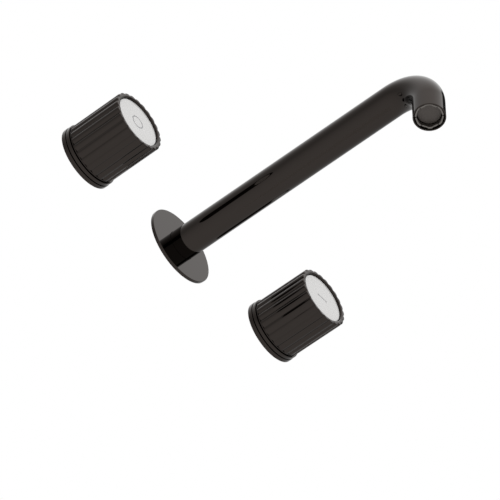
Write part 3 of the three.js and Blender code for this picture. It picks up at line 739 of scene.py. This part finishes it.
# A barrel with a flange and a spigot, a hub round the inlet, and spokes between the slots that
# run a little into both.
def buildHousing(side):
    bm = bmesh.new()
    h = housing
    spinProfile(bm, [
        (h["slotOuter"], h["rear"]), (h["spigot"], h["rear"]), (h["spigot"], h["grooveRear"]),
        (h["grooveRoot"], h["grooveRear"]), (h["grooveRoot"], h["grooveFront"]),
        (h["spigot"], h["grooveFront"]), (h["spigot"], h["recessFront"]),
        (h["recess"], h["recessFront"]), (h["recess"], 0), (h["flange"], 0),
        (h["flange"], h["flangeThickness"]), (h["barrel"], h["flangeThickness"]),
        (h["barrel"], h["barrelFront"]), (h["bore"], h["barrelFront"]),
        (h["bore"], h["floorFront"]),
        (h["slotOuter"], h["floorFront"]),
    ], steps=ringSteps)
    spinProfile(bm, [
        (h["inlet"], h["rear"]), (h["slotInner"], h["rear"]), (h["slotInner"], h["floorFront"]),
        (h["inlet"], h["floorFront"]),
    ], steps=ringSteps)
    spacing = 360 / h["slots"]
    width = spacing - h["slotAngle"]
    for i in range(h["slots"]):
        spinSpoke(
            bm, h["slotInner"] - h["overlap"], h["slotOuter"] + h["overlap"],
            h["rear"] + h["setIn"],
            h["floorFront"] - h["setIn"], math.radians(i * spacing - width / 2),
            math.radians(width), h["spokeSteps"],
        )
    closeUp(bm)
    roundEdges(bm, h["edge"], 2, alongToo=True)
    finishPiece(
        bm, f"{side}ValveHousing", brass, root, [f"{side}_valve_housing"], handleX[side],
    )


# A plain ring that takes its size from the CAD piece it stands for.
def buildGasket(node, name, width, edge):
    low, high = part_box(node)
    outer = (high.z - low.z) / 2 / mm
    rear, front = -high.y / mm, -low.y / mm
    bm = bmesh.new()
    spinProfile(bm, [
        (outer - width, rear), (outer, rear), (outer, front), (outer - width, front),
    ], steps=ringSteps)
    closeUp(bm)
    roundEdges(bm, edge, 2)
    finishPiece(bm, name, foam, root, [node], (low.x + high.x) / 2 / mm)


# A round rubber ring, thin in section, from the box of the CAD piece it stands for.
def buildSeal(node, name):
    low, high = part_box(node)
    outer, section = (high.z - low.z) / 2 / mm, (high.y - low.y) / 2 / mm
    middle = -(low.y + high.y) / 2 / mm
    turns = [2 * math.pi * i / sealSteps for i in range(sealSteps)]
    bm = bmesh.new()
    spinProfile(bm, [
        (outer - section + section * math.cos(t), middle + section * math.sin(t)) for t in turns
    ], steps=ringSteps)
    closeUp(bm)
    finishPiece(bm, name, rubber, root, [node], (low.x + high.x) / 2 / mm)


buildNipple()
buildGasket("plate_gasket", "plateGasket", 4.0, 0.15)
buildSeal("plate_o_ring", "plateSeal")
for side in handleBodies:
    buildHousing(side)
    buildGasket(f"{side}_flange_gasket", f"{side}FlangeGasket", 2.0, 0.1)
    buildSeal(f"{side}_housing_o_ring", f"{side}HousingSeal")
print("rear pieces ready")


# ---- handles

gripLow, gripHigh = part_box("hot_grip")
grip = {
    "crest": 23.4,
    "reedDepth": 1.3,
    "reeds": 24,
    "turn": {"hot": 2.0, "cold": 0.0},  # of the reeds about the axis, in degrees
    "arcSteps": 12,
    "grooveRounding": 2,  # passes that soften the bottoms of the grooves
    "grooveShare": 0.2,  # of the reeds' depth, that they soften
    "rear": -gripHigh.y / mm,
    "front": -gripLow.y / mm,
    "neck": 23.0,
    "neckLength": 0.8,
    "rearRound": 0.35,
    "frontRound": 1.2,
    "roundSteps": 6,
    "pocket": 19.7,
    "mouthRound": 1.0,
    "pocketBack": 43.5,
    "ledge": 16.5,
    "webFront": 41.5,
    "webRear": 38.7,
    "cavity": 19.8,
    "recess": 21.1,
    "recessFront": 8.0,
    "boss": 11.0,
    "bossRear": 29.1,
    "insertPocket": 7.6,
    "insertPocketFront": 37.7,
    "screwHole": 2.2,
    "edge": 0.2,
}


# One reed's arc, then all of them round the axis, as a closed outline of the reeds' rear.
def reedOutline(bm, side):
    halfPitch = math.pi / grip["reeds"]
    root = grip["crest"] - grip["reedDepth"]
    halfWidth = root * math.sin(halfPitch)
    height = grip["crest"] - root * math.cos(halfPitch)
    radius = (halfWidth ** 2 + height ** 2) / (2 * height)
    halfArc = math.asin(halfWidth / radius)
    middle = Vector((grip["crest"] - radius, 0, 0)) * mm
    start = bm.verts.new(Vector((root * math.cos(halfPitch), 0, halfWidth)) * mm)
    bmesh.ops.spin(
        bm, geom=[start], cent=middle, axis=(0, 1, 0), dvec=(0, 0, 0),
        angle=2 * halfArc, steps=grip["arcSteps"], use_merge=False, use_duplicate=False,
    )
    turn = Matrix.Rotation(halfPitch, 3, "Y")  # grooves at the top, bottom and sides
    bmesh.ops.rotate(bm, verts=bm.verts, cent=(0, 0, 0), matrix=turn)
    bmesh.ops.spin(
        bm, geom=bm.verts[:] + bm.edges[:], cent=(0, 0, 0), axis=(0, 1, 0), dvec=(0, 0, 0),
        angle=2 * math.pi, steps=grip["reeds"], use_merge=False, use_duplicate=True,
    )
    setting = Matrix.Rotation(math.radians(grip["turn"][side]), 3, "Y")
    bmesh.ops.rotate(bm, verts=bm.verts, cent=(0, 0, 0), matrix=setting)
    bmesh.ops.remove_doubles(bm, verts=bm.verts, dist=0.001 * mm)
    soft = (root + grip["grooveShare"] * grip["reedDepth"]) * mm
    low = [vert for vert in bm.verts if vert.co.length < soft]
    for i in range(grip["grooveRounding"]):
        bmesh.ops.smooth_vert(bm, verts=low, factor=0.5, use_axis_x=True, use_axis_z=True)
    return bm.edges[:]


# The next ring of the reeds, drawn in towards the axis and moved out.
def growReeds(bm, loop, scale, out):
    verts, edges = extrudeLoop(bm, loop)
    bmesh.ops.scale(bm, verts=verts, vec=(scale, 1, scale))
    for vert in verts:
        vert.co.y = -out * mm
    return edges


# Points of a quarter round, from along the first direction to along the second.
def quarterRound(steps):
    angles = [math.pi / 2 * i / steps for i in range(steps + 1)]
    return [(math.sin(a), 1 - math.cos(a)) for a in angles]


def buildGrip(side):
    bm = bmesh.new()
    loop = reedOutline(bm, side)
    crest, steps = grip["crest"], grip["roundSteps"]
    reedsRear = grip["rear"] + grip["neckLength"]
    size = grip["rearRound"]
    bmesh.ops.scale(bm, verts=bm.verts, vec=(1 - size / crest,) * 3)
    bmesh.ops.translate(bm, verts=bm.verts, vec=(0, -reedsRear * mm, 0))
    reach = crest - size
    for along, inwards in quarterRound(steps)[1:]:  # rear ends of the reeds
        target = crest - size * (1 - along)
        loop = growReeds(bm, loop, target / reach, reedsRear + size * inwards)
        reach = target
    size = grip["frontRound"]
    for along, inwards in quarterRound(steps):  # front ends of the reeds
        target = crest - size * inwards
        loop = growReeds(bm, loop, target / reach, grip["front"] - size * (1 - along))
        reach = target
    mouth = grip["mouthRound"]
    inside = [
        (grip["pocket"] + mouth * (1 - along), grip["front"] - mouth * inwards)
        for along, inwards in quarterRound(steps)
    ]
    inside += [
        (grip["pocket"], grip["pocketBack"]), (grip["ledge"], grip["pocketBack"]),
        (grip["ledge"], grip["webFront"]), (grip["screwHole"], grip["webFront"]),
        (grip["screwHole"], grip["insertPocketFront"]),
        (grip["insertPocket"], grip["insertPocketFront"]),
        (grip["insertPocket"], grip["bossRear"]), (grip["boss"], grip["bossRear"]),
        (grip["boss"], grip["webRear"]), (grip["cavity"], grip["webRear"]),
        (grip["cavity"], grip["recessFront"]), (grip["recess"], grip["recessFront"]),
        (grip["recess"], grip["rear"]), (grip["neck"] - grip["edge"], grip["rear"]),
        (grip["neck"], grip["rear"] + grip["edge"]), (grip["neck"], reedsRear),
    ]
    spinProfile(bm, inside, closed=False, steps=grip["reeds"] * grip["arcSteps"])
    ends = [e for e in bm.edges if e.is_boundary]
    halfway = -(grip["front"] + grip["rear"]) / 2 * mm
    bmesh.ops.bridge_loops(bm, edges=[e for e in ends if e.verts[0].co.y < halfway])
    bmesh.ops.bridge_loops(bm, edges=[e for e in ends if e.verts[0].co.y > halfway])
    closeUp(bm)
    finishPiece(
        bm, f"{side}Grip", darkChrome, handleBodies[side],
        [f"{side}_grip"], handleX[side],
    )


baseLow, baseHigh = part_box("hot_base_ring")
coverLow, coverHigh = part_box("hot_cover_ring")
base = {
    "radius": (baseHigh.z - baseLow.z) / 2 / mm,
    "thickness": -baseLow.y / mm,
    "inner": 20.9,
    "coverRadius": (coverHigh.z - coverLow.z) / 2 / mm,
    "coverRear": -coverHigh.y / mm,
    "coverFront": -coverLow.y / mm,
    "coverInner": 14.5,
    "edge": 0.35,
}


def buildBase(side):
    bm = bmesh.new()
    spinProfile(bm, [
        (base["inner"], 0), (base["radius"], 0), (base["radius"], base["thickness"]),
        (base["inner"], base["thickness"]),
    ], steps=ringSteps)
    closeUp(bm)
    roundEdges(bm, base["edge"], 4)
    finishPiece(
        bm, f"{side}BaseRing", darkChrome, root,
        [f"{side}_base_ring"], handleX[side],
    )
    bm = bmesh.new()
    spinProfile(bm, [
        (base["coverInner"], base["coverRear"]), (base["coverRadius"], base["coverRear"]),
        (base["coverRadius"], base["coverFront"]), (base["coverInner"], base["coverFront"]),
    ], steps=ringSteps)
    closeUp(bm)
    roundEdges(bm, base["edge"], 4)
    finishPiece(
        bm, f"{side}CoverRing", darkChrome, root,
        [f"{side}_cover_ring"], handleX[side],
    )


discLow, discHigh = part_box("hot_index_disc")
indexDisc = {
    "radius": (discHigh.z - discLow.z) / 2 / mm,
    "rear": -discHigh.y / mm,
    "front": -discLow.y / mm,
    "hollow": 15.0,
    "hollowFront": 46.2,
    "grooveRoot": 18.2,
    "grooveRear": 45.3,
    "grooveFront": 46.8,
    "edge": 0.55,
    "roundSteps": 5,
    "markDepth": 0.3,
    "markEdge": 0.1,
    "ringMark": (4.55, 5.45),
    "barMark": (4.55, 0.45),  # half its straight length and half its width
}
lastTurn = 2 * math.pi - 0.001  # an angle just under a whole turn counts as none


# Points round a bar with round ends, evenly spaced and starting at its right-hand end.
def barOutline(count):
    half, radius = indexDisc["barMark"]
    arc = math.pi * radius / 2
    whole = 4 * (half + arc)
    points = []
    for i in range(count):
        along = whole * i / count
        quarter, rest = divmod(along, whole / 4)
        rest = rest if quarter % 2 == 0 else whole / 4 - rest
        if rest < arc:
            point = (half + radius * math.cos(rest / radius), radius * math.sin(rest / radius))
        else:
            point = (half + arc - rest, radius)
        signX = -1 if quarter in (1, 2) else 1
        signZ = -1 if quarter in (2, 3) else 1
        points.append((signX * point[0], signZ * point[1]))
    return points


# The hot disc's mark is a fine ring and the cold disc's a level bar, both sunk and enamelled.
def buildIndexDisc(side):
    bm = bmesh.new()
    d = indexDisc
    profile = [
        (0, d["hollowFront"]), (d["hollow"], d["hollowFront"]), (d["hollow"], d["rear"]),
        (d["radius"], d["rear"]), (d["radius"], d["grooveRear"]),
        (d["grooveRoot"], d["grooveRear"]),
        (d["grooveRoot"], d["grooveFront"]), (d["radius"], d["grooveFront"]),
    ]
    profile += [
        (d["radius"] - d["edge"] * inwards, d["front"] - d["edge"] * (1 - along))
        for along, inwards in quarterRound(d["roundSteps"])
    ]
    inner, outer = d["ringMark"]
    floor = d["front"] - d["markDepth"]
    if side == "hot":
        profile += [
            (outer, d["front"]), (outer, floor), (inner, floor), (inner, d["front"]),
            (0, d["front"]),
        ]
        spinProfile(bm, profile, closed=False, steps=ringSteps)
    else:
        spinProfile(bm, profile + [(outer, d["front"])], closed=False, steps=ringSteps)
        loop = [edge for edge in bm.edges if len(edge.link_faces) == 1]
        verts, loop = extrudeLoop(bm, loop)
        verts.sort(key=lambda vert: math.atan2(vert.co.z, vert.co.x) % lastTurn)
        for vert, (x, z) in zip(verts, barOutline(len(verts))):
            vert.co = Vector((x, -d["front"], z)) * mm
        loop = growLoop(bm, loop, 1, (0, d["markDepth"] * mm, 0))
        growLoop(bm, loop, 0, (0, 0, 0))
    closeUp(bm)
    roundEdges(bm, d["markEdge"], 2, alongToo=True)
    for face in bm.faces:
        middle = face.calc_center_median()
        inMark = abs(middle.y + floor * mm) < d["markEdge"] * mm
        if inMark and math.hypot(middle.x, middle.z) < d["hollow"] * mm:
            face.material_index = 1
    piece = finishPiece(
        bm, f"{side}IndexDisc", porcelain, handleBodies[side],
        [f"{side}_index_disc"], handleX[side],
    )
    piece.data.materials.append(markEnamel)


for side in handleBodies:
    buildGrip(side)
    buildBase(side)
    buildIndexDisc(side)
print("handles ready")


# ---- parts inside keep their shape and get their finish

finishes = {
    "rubber": rubber,
    "brass": brass,
    "steel": stainless,
    "steel_mesh": wovenScreen,
    "grey_plastic": acetal,
    "alumina": alumina,
    "black_chrome": darkChrome,
    "aerator_rim": turnedRing,
    "porcelain": porcelain,
}
for entry in frame["record"]["subparts"]:
    node = frame["nodes"][entry["node"]]
    node.data.materials.clear()
    node.data.materials.append(finishes[entry["material_slot"]])
